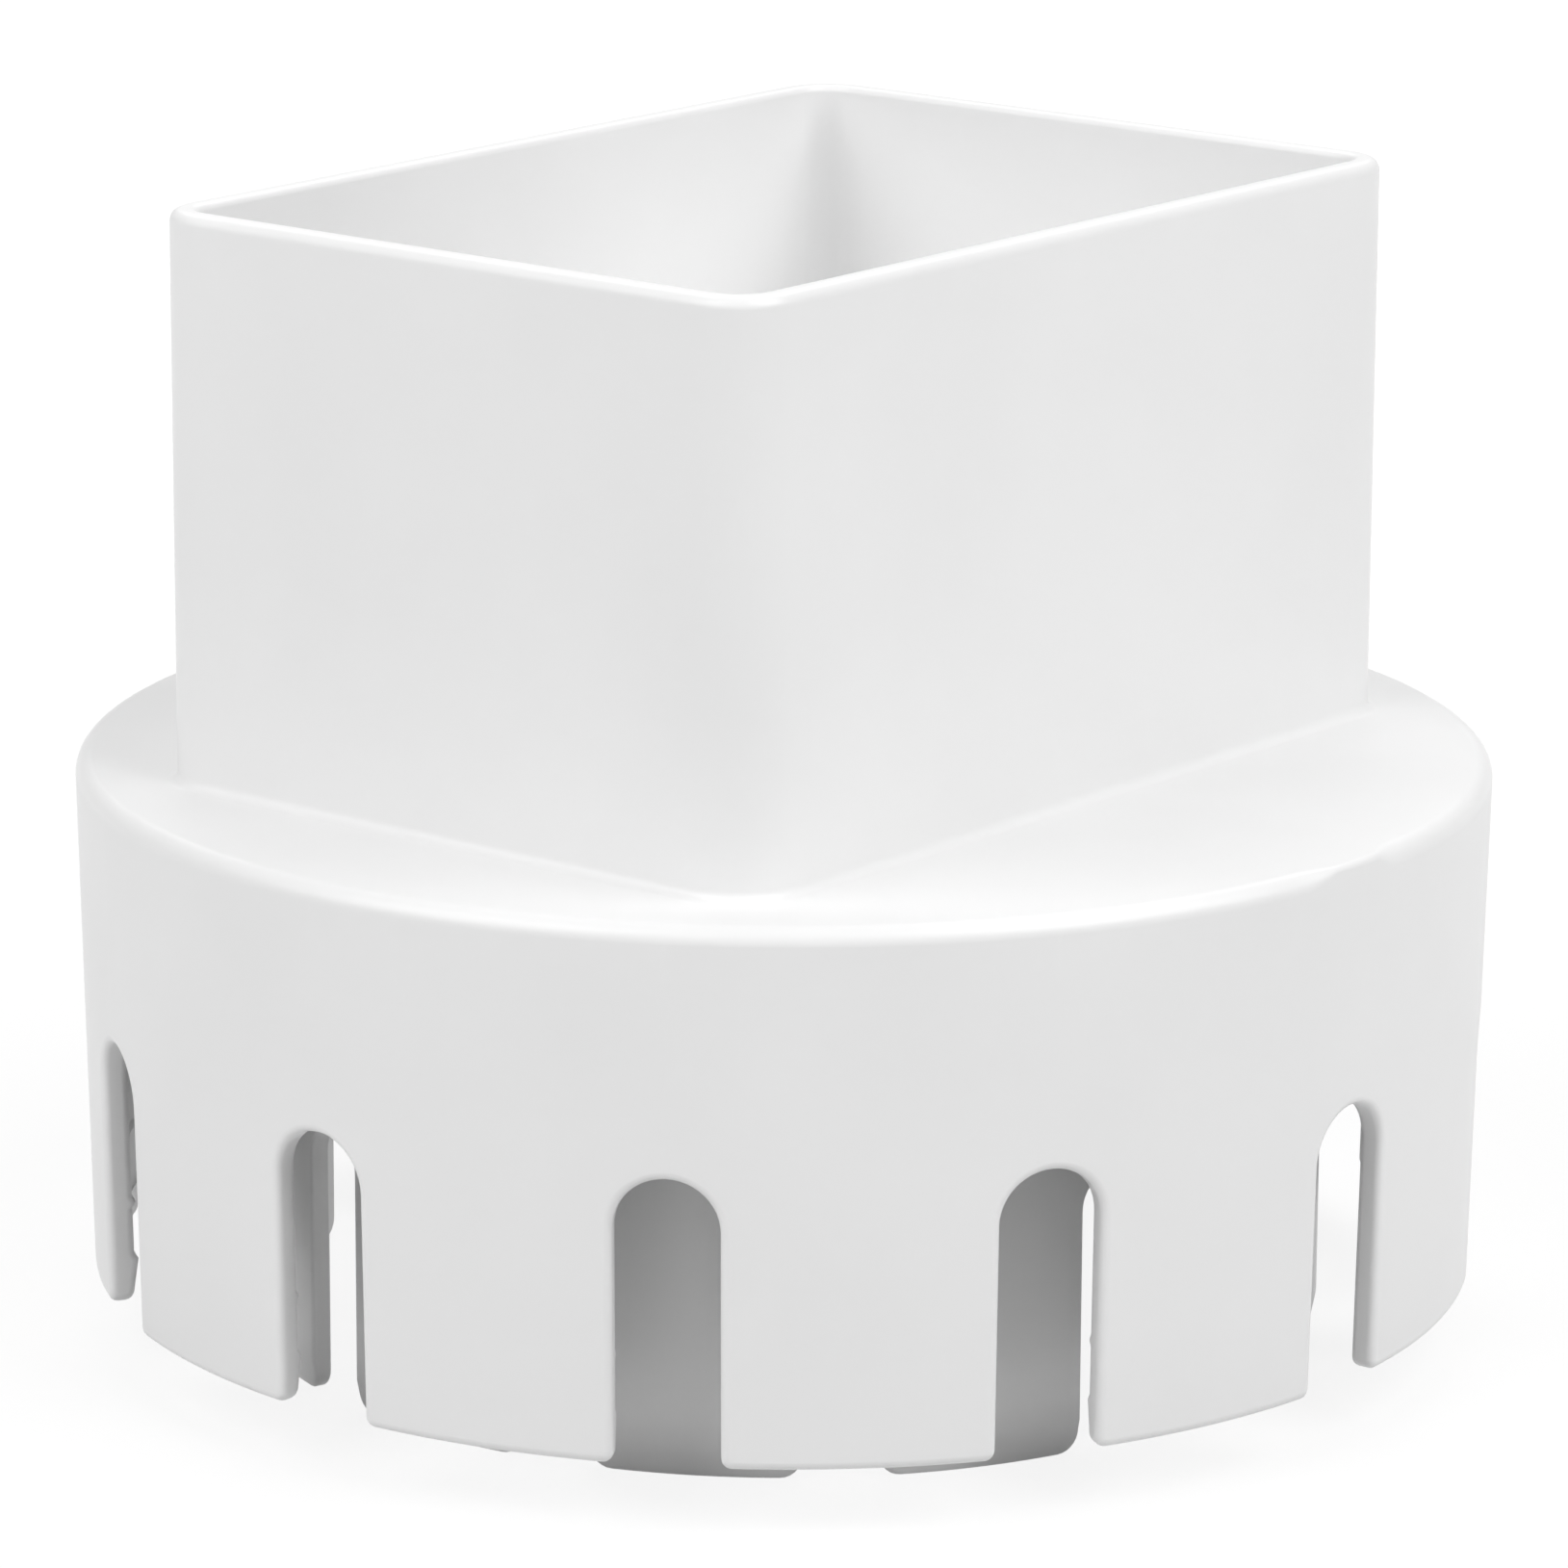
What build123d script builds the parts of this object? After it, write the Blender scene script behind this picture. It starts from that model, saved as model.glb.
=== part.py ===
"""Flexible downspout adapter, one moulded piece.

A rectangular socket takes the end of a downspout. The round flange under it carries two concentric rings
of spring fingers: the skirt closes round a large drain pipe, and the inner ring round a small one.
The origin is on the axis, level with the tips of the inner ring. X runs along the socket's long side.
"""

import os

from build123d import *

# Driving dimensions, in millimetres

# Socket for the downspout
socket_length = 83.2  # inside, along X
socket_width = 58.9  # inside, along Y
socket_height = 48.0  # flange top to rim
socket_wall = 2.3
socket_corner = 2.8  # inside corner radius
rim_round = 1.0  # outer edge
rim_lead_in = 0.6  # chamfer that guides the downspout in
socket_root_chamfer = 0.8  # where the walls stand on the flange

# Flange between the socket and the pipes
flange_thickness = 2.6
flange_edge_round = 1.5
pipe_stop = 2.0  # ledge that the end of the small pipe meets

# Skirt round the large pipe
large_pipe_diameter = 114.3
large_pipe_clearance = 0.3  # on the radius, at the flange
skirt_wall = 2.3
skirt_depth = 44.5  # flange top to finger tips
skirt_lean = 1.0  # how far the tips lean in
skirt_slot_width = 8.6
skirt_slot_height = 23.8
skirt_finger_corner = 0.9
skirt_lip_height = 4.1  # grip lip inside the fingers, tip to upper end
skirt_lip_rise = 0.35
skirt_lip_slope = 0.5  # height of its upper flank
skirt_lead_in_depth = 0.6  # how far the lip tapers back towards the tips

# Inner ring round the small pipe
small_pipe_diameter = 88.9
small_pipe_squeeze = 0.45  # how far the pipe spreads the fingers
ring_wall = 1.85
ring_drop = 5.3  # how far its tips reach below the skirt's tips
ring_slot_width = 6.4
ring_slot_height = 23.8
ring_finger_corner = 1.7
ring_lead_in = 3.0  # height of the taper outside the tips
ring_lead_in_depth = 0.6

# Slots round the axis, in degrees. The skirt's front slots stand closer together than those at its back,
# and the inner ring's slots stand midway between the skirt's.
front_slot_count = 5
front_slot_start = 150
front_slot_pitch = 30
back_slot_count = 6
front_slot_range = front_slot_pitch * (front_slot_count - 1)
back_slot_pitch = (360 - front_slot_range) / (back_slot_count + 1)
back_slot_start = front_slot_start + front_slot_range + back_slot_pitch
back_slot_range = back_slot_pitch * (back_slot_count - 1)

# Levels
ring_tip = 0.0
skirt_tip = ring_tip + ring_drop
skirt_lip_top = skirt_tip + skirt_lip_height
flange_top = skirt_tip + skirt_depth
flange_bottom = flange_top - flange_thickness

# Radii
ring_inner_radius = small_pipe_diameter / 2 - small_pipe_squeeze
ring_outer_radius = ring_inner_radius + ring_wall
throat_radius = ring_inner_radius - pipe_stop
skirt_top_radius = large_pipe_diameter / 2 + large_pipe_clearance + skirt_wall
gap_middle = (ring_outer_radius + skirt_top_radius - skirt_lean - skirt_wall) / 2


def skirt_outside(level):
    """Outer radius of the leaning skirt at a level."""
    return skirt_top_radius - skirt_lean * (flange_top - level) / skirt_depth


def skirt_inside(level):
    """Inner radius of the leaning skirt at a level."""
    return skirt_outside(level) - skirt_wall


def skirt_lip(level, rise):
    """Section point that stands proud of the skirt's inner face at a level."""
    return skirt_inside(level) - rise, level


def slot_outline(tip, width, height):
    """Upright slot with a round top that opens through the finger tips."""
    with Locations((0, tip + height - width / 2)):
        Circle(width / 2)
        Rectangle(width, height, align=(Align.CENTER, Align.MAX))


# Cutter for one slot of the skirt, facing +X
with BuildPart() as skirt_slot:
    with BuildSketch(Plane.YZ.offset(gap_middle)):
        slot_outline(skirt_tip, skirt_slot_width, skirt_slot_height)
    extrude(amount=skirt_top_radius - gap_middle)

# Cutter for one slot of the inner ring, facing +X
with BuildPart() as ring_slot:
    with BuildSketch(Plane.YZ.offset(throat_radius)):
        slot_outline(ring_tip, ring_slot_width, ring_slot_height)
    extrude(amount=gap_middle - throat_radius)

with BuildPart() as downspout_adapter:
    # Flange and skirt, turned about the axis
    with BuildSketch(Plane.XZ):
        with BuildLine():
            Polyline(
                (0, flange_top),
                (skirt_outside(flange_top), flange_top),
                (skirt_outside(skirt_tip), skirt_tip),
                skirt_lip(skirt_tip, skirt_lip_rise - skirt_lead_in_depth),
                skirt_lip(skirt_lip_top - skirt_lip_slope, skirt_lip_rise),
                skirt_lip(skirt_lip_top, 0),
                (skirt_inside(flange_bottom), flange_bottom),
                (0, flange_bottom),
                close=True,
            )
        section = make_face()
        fillet(section.vertices().sort_by(SortBy.DISTANCE)[-1], flange_edge_round)
    revolve(axis=Axis.Z)

    # Inner ring, turned about the axis
    with BuildSketch(Plane.YZ):
        with BuildLine():
            Polyline(
                (ring_inner_radius, flange_bottom),
                (ring_outer_radius, flange_bottom),
                (ring_outer_radius, ring_tip + ring_lead_in),
                (ring_outer_radius - ring_lead_in_depth, ring_tip),
                (ring_inner_radius, ring_tip),
                close=True,
            )
        make_face()
    revolve(axis=Axis.Z)

    # Socket, flared where it stands on the flange, with a rounded rim and a lead-in
    with BuildSketch(Plane.XY.offset(flange_top)):
        RectangleRounded(
            socket_length + 2 * socket_wall, socket_width + 2 * socket_wall, socket_corner + socket_wall
        )
    extrude(amount=socket_height)
    flange_face = faces().filter_by(Axis.Z).sort_by(Axis.Z)[-2]
    chamfer(flange_face.inner_wires()[0].edges(), socket_root_chamfer)
    with BuildSketch(Plane.XY.offset(flange_top)):
        RectangleRounded(socket_length, socket_width, socket_corner)
    extrude(amount=socket_height, mode=Mode.SUBTRACT)
    chamfer(faces().sort_by(Axis.Z)[-1].inner_wires()[0].edges(), rim_lead_in)
    fillet(faces().sort_by(Axis.Z)[-1].outer_wire().edges(), rim_round)

    # Way through the flange: ledges stop the downspout at its corners and the small pipe at its end
    with BuildSketch(Plane.XY.offset(flange_bottom)):
        RectangleRounded(socket_length, socket_width, socket_corner)
        Circle(throat_radius, mode=Mode.INTERSECT)
    extrude(amount=flange_thickness, mode=Mode.SUBTRACT)

    # Slots that part both rings into fingers, with rounded corners
    with PolarLocations(0, front_slot_count, front_slot_start, front_slot_range, endpoint=True):
        add(skirt_slot.part, mode=Mode.SUBTRACT)
    with PolarLocations(0, back_slot_count, back_slot_start, back_slot_range, endpoint=True):
        add(skirt_slot.part, mode=Mode.SUBTRACT)
    with PolarLocations(
        0,
        front_slot_count - 1,
        front_slot_start + front_slot_pitch / 2,
        front_slot_range - front_slot_pitch,
        endpoint=True,
    ):
        add(ring_slot.part, mode=Mode.SUBTRACT)
    with PolarLocations(
        0,
        back_slot_count + 1,
        back_slot_start - back_slot_pitch / 2,
        back_slot_range + back_slot_pitch,
        endpoint=True,
    ):
        add(ring_slot.part, mode=Mode.SUBTRACT)
    ring_tips, skirt_tips = faces().filter_by(Axis.Z).group_by(Axis.Z)[:2]
    fillet(skirt_tips.edges().filter_by(GeomType.LINE), skirt_finger_corner)
    fillet(ring_tips.edges().filter_by(GeomType.LINE), ring_finger_corner)

downspout_adapter.part.label = "downspout_adapter"
os.makedirs("parts", exist_ok=True)
export_step(downspout_adapter.part, "parts/downspout_adapter.step")
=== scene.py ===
"""Looks of the flexible downspout adapter: white moulded plastic on a white studio floor.

The solid is replaced by a piece of the same form, with the soft edges, root fillets and grip beads of a
moulding.
"""

import math
from collections import namedtuple

import bmesh
import bpy
from mathutils import Matrix, Vector


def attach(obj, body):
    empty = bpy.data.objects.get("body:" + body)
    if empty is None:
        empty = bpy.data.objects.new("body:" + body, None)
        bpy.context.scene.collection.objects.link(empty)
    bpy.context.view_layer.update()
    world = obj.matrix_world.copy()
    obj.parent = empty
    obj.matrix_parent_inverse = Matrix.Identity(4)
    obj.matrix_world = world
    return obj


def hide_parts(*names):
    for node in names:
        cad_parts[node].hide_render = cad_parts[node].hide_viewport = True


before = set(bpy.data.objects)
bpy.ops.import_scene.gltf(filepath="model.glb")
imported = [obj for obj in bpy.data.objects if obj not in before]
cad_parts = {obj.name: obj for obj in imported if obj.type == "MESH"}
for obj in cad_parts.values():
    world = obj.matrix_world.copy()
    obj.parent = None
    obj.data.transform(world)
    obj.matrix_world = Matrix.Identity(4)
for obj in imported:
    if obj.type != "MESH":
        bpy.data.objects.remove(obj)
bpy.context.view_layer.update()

MM = 0.001

# Form, in millimetres, as the solid has it
SOCKET_HALF_LENGTH = 41.6  # inside
SOCKET_HALF_WIDTH = 29.45  # inside
SOCKET_WALL = 2.3
SOCKET_CORNER = 2.8  # inside
RIM = 97.8
FLANGE_TOP = 49.8
FLANGE_BOTTOM = 47.2
FLANGE_EDGE_ROUND = 1.5
GATE = 269.0  # degrees, where the trimmed gate left its mark on the flange's edge
GATE_HALF = 3.2
GATE_ROUND = 0.5  # the edge is sharper there
GATE_FADE = 0.5  # share of its half over which the edge becomes plain again
THROAT_RADIUS = 42.0
SKIRT_TOP_RADIUS = 59.715  # a hair less than the solid's, to stay inside its facets
SKIRT_WALL = 2.3
SKIRT_TIP = 5.3
SKIRT_LEAN = 1.0
SKIRT_LIP_TOP = 9.4
SKIRT_LIP_CREST = 8.9  # where it stands out most
SKIRT_LIP_RISE = 0.35
SKIRT_LEAD_IN_DEPTH = 0.6  # how far the lip tapers back towards the tips
RING_INNER_RADIUS = 44.0
RING_OUTER_RADIUS = 45.85
RING_LEAD_IN = 3.0
RING_LEAD_IN_DEPTH = 0.6

# Slots of the skirt round the axis, in degrees: five in front, and six more spread over the back
FRONT_SLOTS = (150, 180, 210, 240, 270)
BACK_SLOTS = 6
BACK_PITCH = (360 + FRONT_SLOTS[0] - FRONT_SLOTS[-1]) / (BACK_SLOTS + 1)
FINGER_COUNT = len(FRONT_SLOTS) + BACK_SLOTS  # in each ring
PLAIN_FINGERS = (4, 5)  # these, counted from the first slot, show neither lip nor bead

# Softness of the moulding, in millimetres
SKIRT_SOFT = 0.7
RING_SOFT = 0.3
ROOT_ROUND = 0.5  # inside corners under the flange
SOCKET_ROOT_ROUND = 0.9
RIM_ROUND = 1.0
RIM_INNER_ROUND = 0.6
THROAT_STEP = 0.25  # the way through the flange is this much narrower than the socket
THROAT_SOFT = 0.2
BEAD_LEVEL = 13.9  # grip bead inside the skirt
BEAD_HALF_WIDTH = 0.6
BEAD_RISE = 0.3

# Fineness of the mesh
CORNER_STEPS = 3  # half a finger corner
TIP_STEPS = 9  # half a finger tip
ARCH_STEPS = 12  # half the round top of a slot
SOFT_STEPS = 4  # a soft edge of a finger
FLANGE_EDGE_STEPS = 8
SOCKET_ROOT_STEPS = 5
RIM_STEPS = 6
RIM_INNER_STEPS = 5
THROAT_STEPS = 3  # a soft edge of the throat
ROOT_STEPS = 4  # an inside corner under the flange
SOCKET_SIDE_STEPS, SOCKET_CORNER_STEPS = 24, 8  # half the short side, and a corner
THROAT_SIDE_STEPS, THROAT_ARC_STEPS = 5, 35  # half the short side, and an arc
HALF_FINGER = CORNER_STEPS + TIP_STEPS
QUARTER = HALF_FINGER * FINGER_COUNT // 2  # columns in a quarter of the way round
SKIRT_OUTER_ROWS = (34.0, 39.0, 44.0)  # levels of the rows between the features
SKIRT_INNER_ROWS = (42.0, 36.0)
RING_ROWS = (39.0, 31.0)
SOCKET_ROWS = (64.0, 80.0)
WELD = 0.002  # millimetres, within which points become one
SHARP_ANGLE = math.radians(40)

# Camera, as the photograph was taken
CAMERA_AZIMUTH = math.radians(-51.09)
CAMERA_ELEVATION = math.radians(14.28)
CAMERA_ROLL = math.radians(0.25)
CAMERA_DISTANCE = 0.6627  # metres, to the point that it looks at
CAMERA_TARGET = Vector((0, 0, 0.0462))
CAMERA_LENS = 179.8  # millimetres
CAMERA_SENSOR = 36.0

# Plastic, a little uneven. Waves are counted a metre.
PLASTIC_WHITE = 0.88
SHADE_SPREAD = 0.012
SHADE_WAVES = 45
ROUGHNESS_LOW, ROUGHNESS_HIGH = 0.31, 0.37
ROUGHNESS_WAVES = 60
HOLLOW_STRENGTH = 0.15
HOLLOW_DEPTH = 0.1  # millimetres
HOLLOW_WAVES = 70

# Studio
FLOOR_RADIUS = 8.0
FLOOR_COLOUR = 0.65  # as it lights the object
FLOOR_SHADE = 0.16  # as the camera sees it, on top of the glow, with the object's shadow
NEAR_GLOW = 0.86  # the glow near the object and, for a white background, farther off
FAR_GLOW = 1.0
NEAR = 0.12  # metres from the axis
FAR = 0.5
AMBIENT = 0.12
LAMPS = (  # name, azimuth and elevation in degrees, distance and size in metres, power in watts
    ("right_light", 10, 45, 1.2, 1.0, 10.5),
    ("left_light", -110, 40, 1.2, 1.0, 8.8),
    ("back_light", 129, 50, 1.2, 1.0, 4.0),
    ("front_light", -51, 20, 1.2, 1.0, 1.4),
)
INNER_LIGHT_PLACE = Vector((0.012, 0, 0.066))  # down in the socket, out of sight, to open up its inside
INNER_LIGHT_SIZE = 0.03
INNER_LIGHT_POWER = 0.0042

Fingers = namedtuple(
    "Fingers", "slots tip half_slot slot_height corner soft outside inside plain_inside levels"
)
Span = namedtuple("Span", "middle half_pitch outside inside")


def skirt_outside(level):
    """Outer radius of the leaning skirt at a level."""
    return SKIRT_TOP_RADIUS - SKIRT_LEAN * (FLANGE_TOP - level) / (FLANGE_TOP - SKIRT_TIP)


def skirt_plain_inside(level):
    """Inner radius of the skirt at a level, without its lip and bead."""
    return skirt_outside(level) - SKIRT_WALL


def skirt_inside(level):
    """Inner radius of the skirt at a level, with the lip at its tips and the bead above it."""
    rise = 0.0
    if level < SKIRT_LIP_CREST:
        taper = (SKIRT_LIP_CREST - level) / (SKIRT_LIP_CREST - SKIRT_TIP)
        rise = SKIRT_LIP_RISE - SKIRT_LEAD_IN_DEPTH * taper
    elif level < SKIRT_LIP_TOP:
        rise = SKIRT_LIP_RISE * (SKIRT_LIP_TOP - level) / (SKIRT_LIP_TOP - SKIRT_LIP_CREST)
    elif abs(level - BEAD_LEVEL) < BEAD_HALF_WIDTH:
        rise = BEAD_RISE * math.cos(math.pi / 2 * (level - BEAD_LEVEL) / BEAD_HALF_WIDTH) ** 2
    return skirt_plain_inside(level) - rise


def ring_outside(level):
    """Outer radius of the inner ring at a level."""
    return RING_OUTER_RADIUS - RING_LEAD_IN_DEPTH * max(0.0, 1 - level / RING_LEAD_IN)


def ring_inside(level):
    """Inner radius of the inner ring, the same at every level."""
    return RING_INNER_RADIUS


back_slots = [FRONT_SLOTS[-1] + BACK_PITCH * (number + 1) for number in range(BACK_SLOTS)]
skirt_slots = [*FRONT_SLOTS, *back_slots]
slots_after = [*skirt_slots[1:], skirt_slots[0] + 360]
ring_slots = [(slot + after) / 2 for slot, after in zip(skirt_slots, slots_after)]
bead_levels = [BEAD_LEVEL + BEAD_HALF_WIDTH * step / 3 for step in range(-3, 4)]
SKIRT = Fingers(
    slots=skirt_slots,
    tip=SKIRT_TIP,
    half_slot=4.3,
    slot_height=23.8,
    corner=0.9,
    soft=SKIRT_SOFT,
    outside=skirt_outside,
    inside=skirt_inside,
    plain_inside=skirt_plain_inside,
    levels=[7.5, SKIRT_LIP_CREST, SKIRT_LIP_TOP, 11.3, *bead_levels, 18.0, 21.5],
)
RING = Fingers(
    slots=ring_slots,
    tip=0.0,
    half_slot=3.2,
    slot_height=23.8,
    corner=1.7,
    soft=RING_SOFT,
    outside=ring_outside,
    inside=ring_inside,
    plain_inside=ring_inside,
    levels=[RING_LEAD_IN, 6.0, 10.0, 14.0, 17.5],
)


def polar(radius, angle, level):
    """Point at a radius and an angle round the axis."""
    return radius * math.cos(angle), radius * math.sin(angle), level


def quarter_turn(steps):
    """Sines and cosines of even steps from 0 to 90 degrees."""
    return [(math.sin(math.pi / 2 * s / steps), math.cos(math.pi / 2 * s / steps)) for s in range(steps + 1)]


def mirrored(half):
    """Half a row of angles and levels, completed on the other side of the finger's middle."""
    return half + [(-angle, level) for angle, level in reversed(half[:-1])]


def finger_spans(fingers):
    """Each finger's middle, half the pitch between the slots beside it, and the radii of its two faces."""
    slots = [math.radians(slot) for slot in fingers.slots]
    following = [*slots[1:], slots[0] + 2 * math.pi]
    spans = []
    for number, (slot, after) in enumerate(zip(slots, following)):
        inside = fingers.plain_inside if number in PLAIN_FINGERS else fingers.inside
        spans.append(Span((slot + after) / 2, (after - slot) / 2, fingers.outside, inside))
    return spans


def edge_half(fingers, half_pitch, inset, radius_at):
    """Angles and levels along half a finger's edge, from the top of its slot to the middle of its tip.

    Angles are counted from the finger's middle. The edge lies on a surface with a radius for each level,
    and is inset from the slot into the finger.
    """
    arch_level = fingers.tip + fingers.slot_height - fingers.half_slot
    width = fingers.half_slot + inset
    outline = [(width * sine, arch_level + width * cosine) for sine, cosine in quarter_turn(ARCH_STEPS)]
    outline += [(width, level) for level in reversed(fingers.levels)]
    radius = fingers.corner - inset
    for sine, cosine in quarter_turn(2 * CORNER_STEPS):
        across = fingers.half_slot + fingers.corner - radius * cosine
        outline.append((across, fingers.tip + fingers.corner - radius * sine))
    edge = [(math.asin(across / radius_at(level)) - half_pitch, level) for across, level in outline]
    corner_angle, tip_level = edge[-1]
    for step in range(1, TIP_STEPS + 1):
        edge.append((corner_angle * (1 - step / TIP_STEPS), tip_level))
    return edge


def face_rows(fingers, half_pitch, radius_at):
    """Rows of angles and levels over one face of a finger, from its tip to the tops of its slots."""
    half = edge_half(fingers, half_pitch, fingers.soft, radius_at)
    split = len(half) - 1 - HALF_FINGER
    tip = half[split:]
    side = half[split::-1]
    first_angle, first_level = tip[0]
    lowest = tip[-1][1]
    corner_level = side[CORNER_STEPS][1]
    rows = []
    for step, (edge_angle, edge_level) in enumerate(side):
        middle_level = edge_level
        if step < CORNER_STEPS:
            middle_level = lowest + (corner_level - lowest) * step / CORNER_STEPS
        row = []
        for angle, level in tip:
            bend = (level - lowest) / (first_level - lowest)
            row.append((edge_angle * angle / first_angle, middle_level + (edge_level - middle_level) * bend))
        rows.append(mirrored(row))
    return rows


def edge_rows(fingers, span):
    """Rows of radii, angles and levels over a finger's edge, from its outer to its inner face."""
    outer_rows = []
    inner_rows = []
    for sine, cosine in quarter_turn(SOFT_STEPS):
        inset = fingers.soft * (1 - sine)
        depth = fingers.soft * (1 - cosine)

        def outer_at(level):
            return span.outside(level) - depth

        def inner_at(level):
            return span.inside(level) + depth

        for rows, radius_at in ((outer_rows, outer_at), (inner_rows, inner_at)):
            edge = mirrored(edge_half(fingers, span.half_pitch, inset, radius_at))
            rows.append([(radius_at(level), angle, level) for angle, level in edge])
    return outer_rows + inner_rows[::-1]


def finger_columns(fingers, face):
    """Angles of the columns all round the axis above a ring of slots, the first one nearest to the X axis."""
    columns = []
    for span in finger_spans(fingers):
        top_row = face_rows(fingers, span.half_pitch, getattr(span, face))[-1]
        columns += [span.middle + angle for angle, level in top_row[:-1]]
    first = min(range(len(columns)), key=lambda number: abs(columns[number] - 2 * math.pi))
    return columns[first:] + columns[:first]


def top_level(fingers):
    """Level at which a ring of fingers becomes whole above its slots."""
    return fingers.tip + fingers.slot_height + fingers.soft


def all_round(columns, radius, level):
    """Loop of points at the columns' angles."""
    return [polar(radius, angle, level) for angle in columns]


def four_quarters(quarter, level):
    """Loop from the points of its first quarter, which starts on the X axis and ends on the Y axis."""
    flipped = [(-x, y) for x, y in reversed(quarter)]
    upper = quarter + flipped[1:]
    lower = [(x, -y) for x, y in reversed(upper)]
    return [(x, y, level) for x, y in upper[:-1] + lower[:-1]]


def socket_loop(grow, level):
    """Rounded rectangle round the socket, grown outwards from its inner wall."""
    half_length = SOCKET_HALF_LENGTH + grow
    half_width = SOCKET_HALF_WIDTH + grow
    corner = SOCKET_CORNER + grow
    front_steps = QUARTER - SOCKET_SIDE_STEPS - SOCKET_CORNER_STEPS
    centre_x, centre_y = half_length - corner, half_width - corner
    quarter = [(half_length, centre_y * step / SOCKET_SIDE_STEPS) for step in range(SOCKET_SIDE_STEPS)]
    for sine, cosine in quarter_turn(SOCKET_CORNER_STEPS):
        quarter.append((centre_x + corner * cosine, centre_y + corner * sine))
    quarter += [(centre_x * (1 - step / front_steps), half_width) for step in range(1, front_steps + 1)]
    return four_quarters(quarter, level)


def throat_loop(grow, level):
    """Outline of the way through the flange: the socket's rectangle, cut by a circle."""
    half_length = SOCKET_HALF_LENGTH - THROAT_STEP + grow
    half_width = SOCKET_HALF_WIDTH - THROAT_STEP + grow
    radius = THROAT_RADIUS + grow
    front_steps = QUARTER - THROAT_SIDE_STEPS - THROAT_ARC_STEPS
    start = math.acos(half_length / radius)
    end = math.asin(half_width / radius)
    corner_y = half_length * math.tan(start)
    quarter = [(half_length, corner_y * step / THROAT_SIDE_STEPS) for step in range(THROAT_SIDE_STEPS)]
    for step in range(THROAT_ARC_STEPS + 1):
        angle = start + (end - start) * step / THROAT_ARC_STEPS
        quarter.append((radius * math.cos(angle), radius * math.sin(angle)))
    corner_x = radius * math.cos(end)
    quarter += [(corner_x * (1 - step / front_steps), half_width) for step in range(1, front_steps + 1)]
    return four_quarters(quarter, level)


def edge_round(angle):
    """Radius of the flange's rounded edge at an angle."""
    away = abs(math.degrees(angle) % 360 - GATE) / GATE_HALF - 1
    return GATE_ROUND + (FLANGE_EDGE_ROUND - GATE_ROUND) * min(1.0, max(0.0, away / GATE_FADE))


def upper_loops():
    """Loops from the skirt's outer face over the flange and the socket to the inside of the inner ring."""
    loops = []
    columns = finger_columns(SKIRT, "outside")
    lean = SKIRT_LEAN / (FLANGE_TOP - SKIRT_TIP)
    tilt = math.atan(lean)
    for level in (top_level(SKIRT), *SKIRT_OUTER_ROWS):
        loops.append(all_round(columns, skirt_outside(level), level))
    for step in range(FLANGE_EDGE_STEPS + 1):
        turn = -tilt + (math.pi / 2 + tilt) * step / FLANGE_EDGE_STEPS
        loop = []
        for angle in columns:
            edge = edge_round(angle)
            edge_radius = SKIRT_TOP_RADIUS - lean * edge - edge / math.cos(tilt)
            level = FLANGE_TOP + edge * (math.sin(turn) - 1)
            loop.append(polar(edge_radius + edge * math.cos(turn), angle, level))
        loops.append(loop)

    # Socket, up its outside and down its inside
    for sine, cosine in quarter_turn(SOCKET_ROOT_STEPS):
        root = SOCKET_ROOT_ROUND
        loops.append(socket_loop(SOCKET_WALL + root * (1 - sine), FLANGE_TOP + root * (1 - cosine)))
    for level in SOCKET_ROWS:
        loops.append(socket_loop(SOCKET_WALL, level))
    for sine, cosine in quarter_turn(RIM_STEPS):
        loops.append(socket_loop(SOCKET_WALL - RIM_ROUND * (1 - cosine), RIM - RIM_ROUND * (1 - sine)))
    for sine, cosine in quarter_turn(RIM_INNER_STEPS):
        loops.append(socket_loop(RIM_INNER_ROUND * (1 - sine), RIM - RIM_INNER_ROUND * (1 - cosine)))
    for level in (*reversed(SOCKET_ROWS), FLANGE_TOP):
        loops.append(socket_loop(0.0, level))

    # Way through the flange
    for sine, cosine in quarter_turn(THROAT_STEPS):
        loops.append(throat_loop(THROAT_SOFT * (1 - sine), FLANGE_TOP - THROAT_SOFT * (1 - cosine)))
    for sine, cosine in quarter_turn(THROAT_STEPS):
        loops.append(throat_loop(THROAT_SOFT * (1 - cosine), FLANGE_BOTTOM + THROAT_SOFT * (1 - sine)))

    # Inside of the inner ring
    columns = finger_columns(RING, "inside")
    for sine, cosine in quarter_turn(ROOT_STEPS):
        level = FLANGE_BOTTOM - ROOT_ROUND * (1 - cosine)
        loops.append(all_round(columns, RING_INNER_RADIUS - ROOT_ROUND * (1 - sine), level))
    for level in (*RING_ROWS, top_level(RING)):
        loops.append(all_round(columns, RING_INNER_RADIUS, level))
    return loops


def lower_loops():
    """Loops from the inner ring's outer face over the underside of the flange to the skirt's inner face."""
    loops = []
    columns = finger_columns(RING, "outside")
    for level in (top_level(RING), *reversed(RING_ROWS)):
        loops.append(all_round(columns, RING_OUTER_RADIUS, level))
    for sine, cosine in quarter_turn(ROOT_STEPS):
        level = FLANGE_BOTTOM - ROOT_ROUND * (1 - sine)
        loops.append(all_round(columns, RING_OUTER_RADIUS + ROOT_ROUND * (1 - cosine), level))
    columns = finger_columns(SKIRT, "inside")
    for sine, cosine in quarter_turn(ROOT_STEPS):
        level = FLANGE_BOTTOM - ROOT_ROUND * (1 - cosine)
        loops.append(all_round(columns, skirt_inside(level) - ROOT_ROUND * (1 - sine), level))
    for level in (*SKIRT_INNER_ROWS, top_level(SKIRT)):
        loops.append(all_round(columns, skirt_inside(level), level))
    return loops


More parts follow.
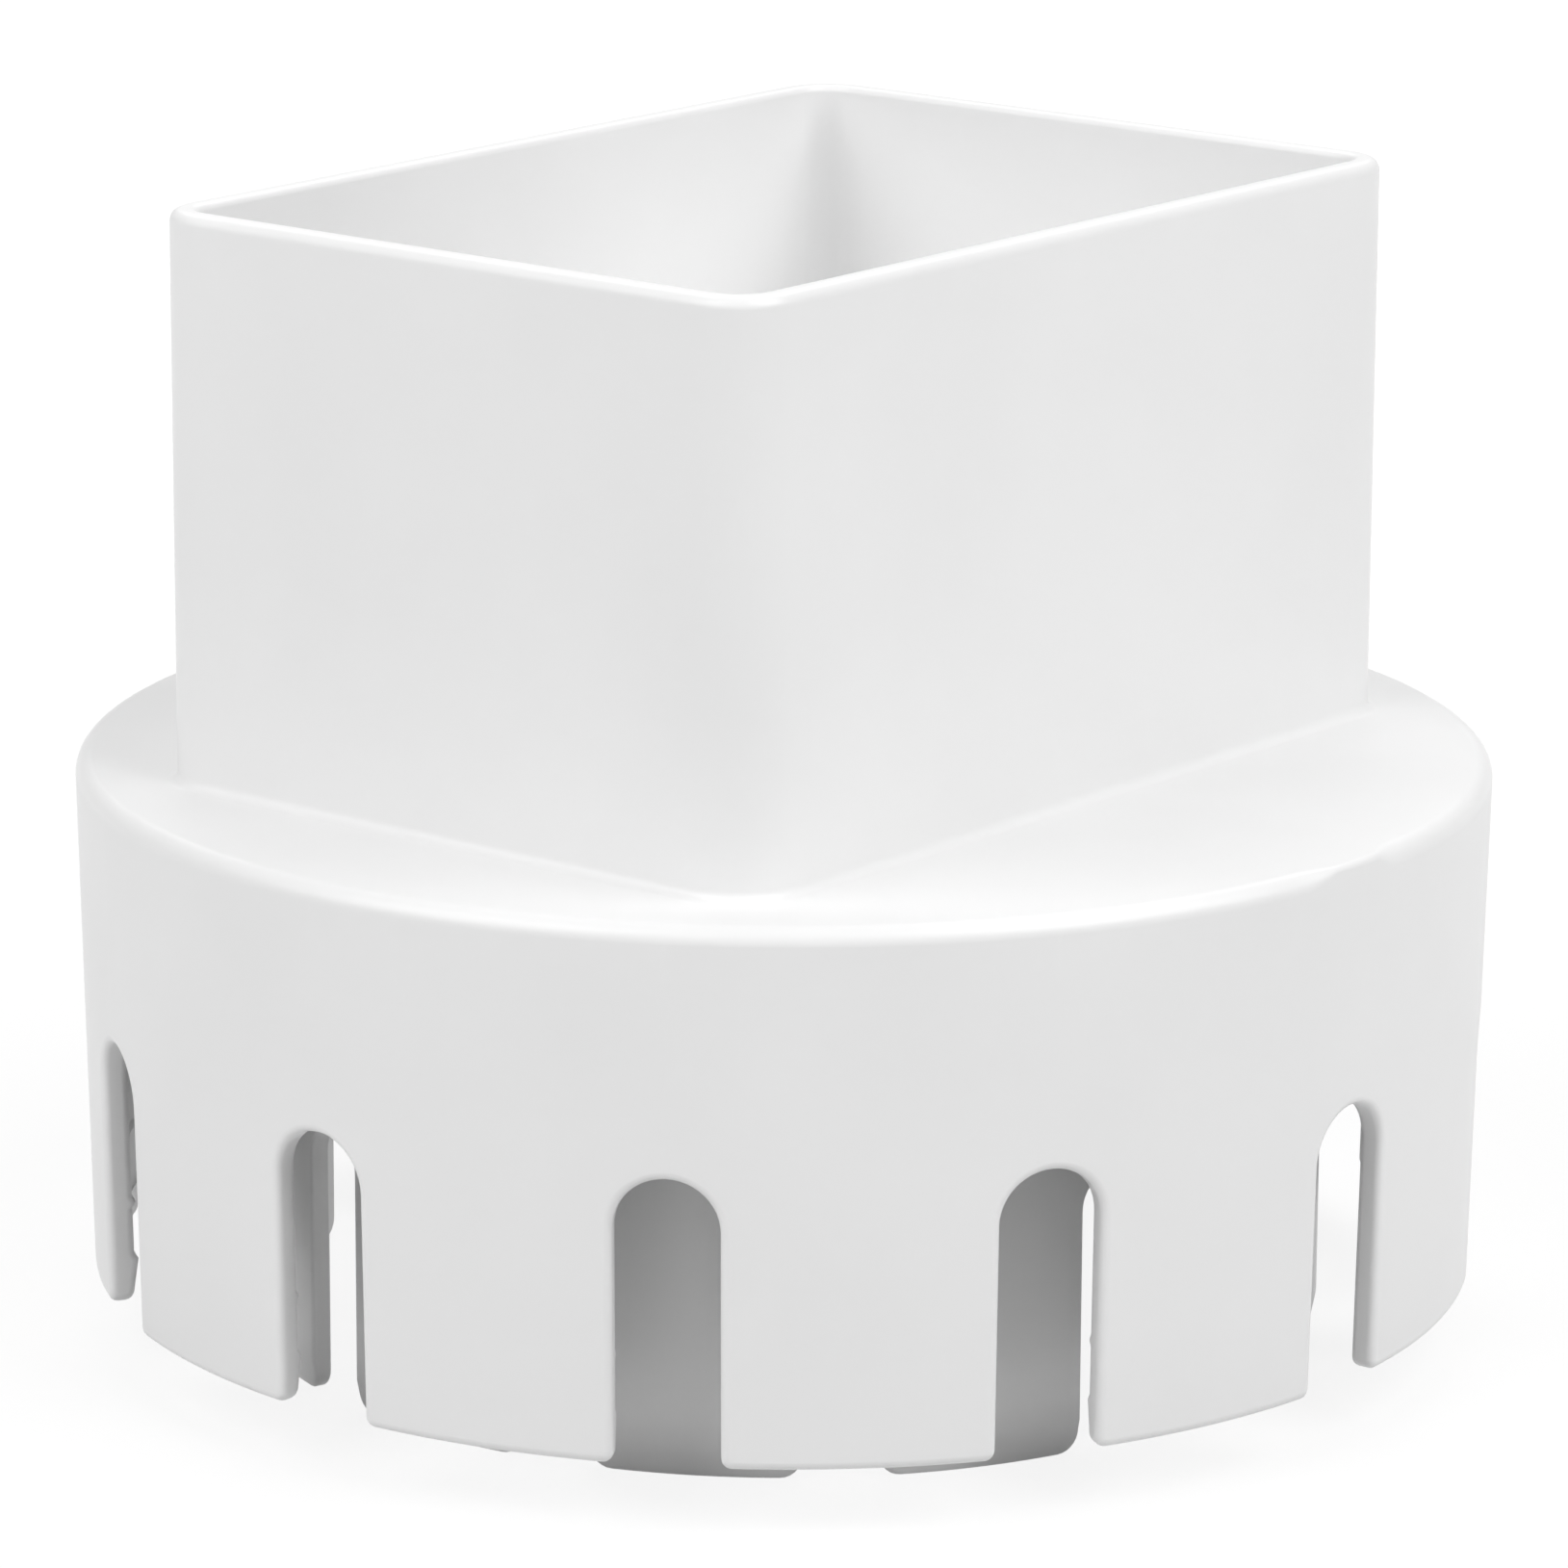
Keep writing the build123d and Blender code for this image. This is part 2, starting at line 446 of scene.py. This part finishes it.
def add_grid(mesh, rows, closed=False):
    """Add faces between rows of points in millimetres. Closed rows run all round the axis."""
    made = [[mesh.verts.new(Vector(point) * MM) for point in row] for row in rows]
    for row, following in zip(made, made[1:]):
        for column in range(len(row) - (0 if closed else 1)):
            after = (column + 1) % len(row)
            mesh.faces.new((row[column], row[after], following[after], following[column]))


def add_fingers(mesh, fingers):
    """Add both faces and the soft edges of every finger in a ring."""
    for span in finger_spans(fingers):
        grids = [edge_rows(fingers, span)]
        for radius_at in (span.outside, span.inside):
            rows = face_rows(fingers, span.half_pitch, radius_at)
            grids.append([[(radius_at(level), angle, level) for angle, level in row] for row in rows])
        for grid in grids:
            points = []
            for row in grid:
                points.append([polar(radius, span.middle + angle, level) for radius, angle, level in row])
            add_grid(mesh, points)


def moulded_adapter():
    """The whole moulding as one closed mesh."""
    mesh = bmesh.new()
    add_grid(mesh, upper_loops(), closed=True)
    add_grid(mesh, lower_loops(), closed=True)
    add_fingers(mesh, SKIRT)
    add_fingers(mesh, RING)
    bmesh.ops.remove_doubles(mesh, verts=mesh.verts, dist=WELD * MM)
    bmesh.ops.recalc_face_normals(mesh, faces=mesh.faces)
    data = bpy.data.meshes.new("moulded_adapter")
    mesh.to_mesh(data)
    mesh.free()
    data.shade_smooth()
    data.set_sharp_from_angle(angle=SHARP_ANGLE)
    piece = bpy.data.objects.new("moulded_adapter", data)
    bpy.context.scene.collection.objects.link(piece)
    even = piece.modifiers.new("even_shading", "WEIGHTED_NORMAL")
    even.keep_sharp = True
    data.materials.append(white_plastic())
    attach(piece, "root")
    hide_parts("downspout_adapter")


def direction(azimuth, elevation):
    """Unit vector from the object towards a place seen at these angles. Azimuth 0 lies on the -Y side."""
    return Vector(
        (
            math.sin(azimuth) * math.cos(elevation),
            -math.cos(azimuth) * math.cos(elevation),
            math.sin(elevation),
        )
    )


def new_material(name):
    """Empty node material and its node tree."""
    material = bpy.data.materials.new(name)
    material.use_nodes = True
    material.node_tree.nodes.clear()
    return material, material.node_tree


def noise(tree, place, scale, low, high, detail=2.0):
    """Socket of soft noise, mostly between two values. The scale is in waves a metre."""
    cloud = tree.nodes.new("ShaderNodeTexNoise")
    cloud.inputs["Scale"].default_value = scale
    cloud.inputs["Detail"].default_value = detail
    tree.links.new(place, cloud.inputs["Vector"])
    spread = tree.nodes.new("ShaderNodeMapRange")
    spread.clamp = False
    spread.inputs["From Min"].default_value = 0.3
    spread.inputs["From Max"].default_value = 0.7
    spread.inputs["To Min"].default_value = low
    spread.inputs["To Max"].default_value = high
    tree.links.new(cloud.outputs["Fac"], spread.inputs["Value"])
    return spread.outputs["Result"]


def white_plastic():
    """Satin white moulded plastic, a little uneven in shade, gloss and flatness."""
    material, tree = new_material("white_plastic")
    nodes, links = tree.nodes, tree.links
    output = nodes.new("ShaderNodeOutputMaterial")
    shader = nodes.new("ShaderNodeBsdfPrincipled")
    links.new(shader.outputs["BSDF"], output.inputs["Surface"])
    place = nodes.new("ShaderNodeTexCoord").outputs["Object"]

    shade = noise(tree, place, SHADE_WAVES, PLASTIC_WHITE - SHADE_SPREAD, PLASTIC_WHITE + SHADE_SPREAD)
    white = nodes.new("ShaderNodeCombineColor")
    for channel in ("Red", "Green", "Blue"):
        links.new(shade, white.inputs[channel])
    links.new(white.outputs["Color"], shader.inputs["Base Color"])

    gloss = noise(tree, place, ROUGHNESS_WAVES, ROUGHNESS_LOW, ROUGHNESS_HIGH)
    links.new(gloss, shader.inputs["Roughness"])

    hollows = nodes.new("ShaderNodeBump")
    hollows.inputs["Strength"].default_value = HOLLOW_STRENGTH
    hollows.inputs["Distance"].default_value = HOLLOW_DEPTH * MM
    links.new(noise(tree, place, HOLLOW_WAVES, 0.0, 1.0, detail=0.0), hollows.inputs["Height"])
    links.new(hollows.outputs["Normal"], shader.inputs["Normal"])
    return material


def seen_directly(tree):
    """Socket that is 1 for what the camera sees, straight on or in gloss and glass, and else 0."""
    path = tree.nodes.new("ShaderNodeLightPath")
    seen = path.outputs["Is Camera Ray"]
    for ray in ("Is Glossy Ray", "Is Transmission Ray"):
        either = tree.nodes.new("ShaderNodeMath")
        either.operation = "MAXIMUM"
        tree.links.new(seen, either.inputs[0])
        tree.links.new(path.outputs[ray], either.inputs[1])
        seen = either.outputs["Value"]
    return seen


def studio_floor():
    """Round white floor that keeps the object's shadow."""
    bpy.ops.mesh.primitive_circle_add(vertices=128, radius=FLOOR_RADIUS, fill_type="NGON")
    floor = bpy.context.object
    floor.name = "studio_floor"
    material, tree = new_material("floor_white")
    nodes, links = tree.nodes, tree.links
    output = nodes.new("ShaderNodeOutputMaterial")
    bounce = nodes.new("ShaderNodeBsdfDiffuse")
    bounce.inputs["Color"].default_value = (FLOOR_COLOUR, FLOOR_COLOUR, FLOOR_COLOUR, 1)
    shade = nodes.new("ShaderNodeBsdfDiffuse")
    shade.inputs["Color"].default_value = (FLOOR_SHADE, FLOOR_SHADE, FLOOR_SHADE, 1)
    glow = nodes.new("ShaderNodeEmission")
    distance = nodes.new("ShaderNodeVectorMath")
    distance.operation = "LENGTH"
    links.new(nodes.new("ShaderNodeTexCoord").outputs["Object"], distance.inputs[0])
    rising = nodes.new("ShaderNodeMapRange")
    rising.interpolation_type = "SMOOTHSTEP"
    rising.inputs["From Min"].default_value = NEAR
    rising.inputs["From Max"].default_value = FAR
    rising.inputs["To Min"].default_value = NEAR_GLOW
    rising.inputs["To Max"].default_value = FAR_GLOW
    links.new(distance.outputs["Value"], rising.inputs["Value"])
    links.new(rising.outputs["Result"], glow.inputs["Strength"])
    white = nodes.new("ShaderNodeAddShader")
    links.new(shade.outputs["BSDF"], white.inputs[0])
    links.new(glow.outputs["Emission"], white.inputs[1])
    either = nodes.new("ShaderNodeMixShader")
    links.new(seen_directly(tree), either.inputs["Fac"])
    links.new(bounce.outputs["BSDF"], either.inputs[1])
    links.new(white.outputs["Shader"], either.inputs[2])
    links.new(either.outputs["Shader"], output.inputs["Surface"])
    floor.data.materials.append(material)


def studio_world():
    """White surroundings: full white to the camera, plain ambient light to the object."""
    world = bpy.data.worlds.new("studio_world")
    world.use_nodes = True
    tree = world.node_tree
    tree.nodes.clear()
    output = tree.nodes.new("ShaderNodeOutputWorld")
    background = tree.nodes.new("ShaderNodeBackground")
    level = tree.nodes.new("ShaderNodeMapRange")
    level.inputs["To Min"].default_value = AMBIENT
    level.inputs["To Max"].default_value = 1.0
    tree.links.new(seen_directly(tree), level.inputs["Value"])
    tree.links.new(level.outputs["Result"], background.inputs["Strength"])
    tree.links.new(background.outputs["Background"], output.inputs["Surface"])
    bpy.context.scene.world = world


def square_lamp(name, place, towards, size, power):
    """Square area lamp that shines from a place along a direction."""
    lamp = bpy.data.lights.new(name, "AREA")
    lamp.shape = "SQUARE"
    lamp.size = size
    lamp.energy = power
    holder = bpy.data.objects.new(name, lamp)
    bpy.context.scene.collection.objects.link(holder)
    holder.location = place
    holder.rotation_euler = towards.to_track_quat("-Z", "Y").to_euler()
    return holder


def studio_lamps():
    """Large soft lamps round the object and a small one inside its socket."""
    for name, azimuth, elevation, distance, size, power in LAMPS:
        away = direction(math.radians(azimuth), math.radians(elevation))
        square_lamp(name, CAMERA_TARGET + away * distance, -away, size, power)
    upwards = Vector((0, 0, 1))
    inner = square_lamp("inner_light", INNER_LIGHT_PLACE, upwards, INNER_LIGHT_SIZE, INNER_LIGHT_POWER)
    inner.visible_camera = False
    inner.visible_glossy = False


def photo_camera():
    """Camera at the photograph's viewing angle."""
    data = bpy.data.cameras.new("photo_camera")
    data.lens = CAMERA_LENS
    data.sensor_width = CAMERA_SENSOR
    camera = bpy.data.objects.new("photo_camera", data)
    bpy.context.scene.collection.objects.link(camera)
    place = CAMERA_TARGET + CAMERA_DISTANCE * direction(CAMERA_AZIMUTH, CAMERA_ELEVATION)
    camera.matrix_world = (
        Matrix.Translation(place)
        @ Matrix.Rotation(CAMERA_AZIMUTH, 4, "Z")
        @ Matrix.Rotation(math.pi / 2 - CAMERA_ELEVATION, 4, "X")
        @ Matrix.Rotation(CAMERA_ROLL, 4, "Z")
    )
    bpy.context.scene.camera = camera


moulded_adapter()
studio_floor()
studio_world()
studio_lamps()
photo_camera()
bpy.context.scene.view_settings.view_transform = "Standard"
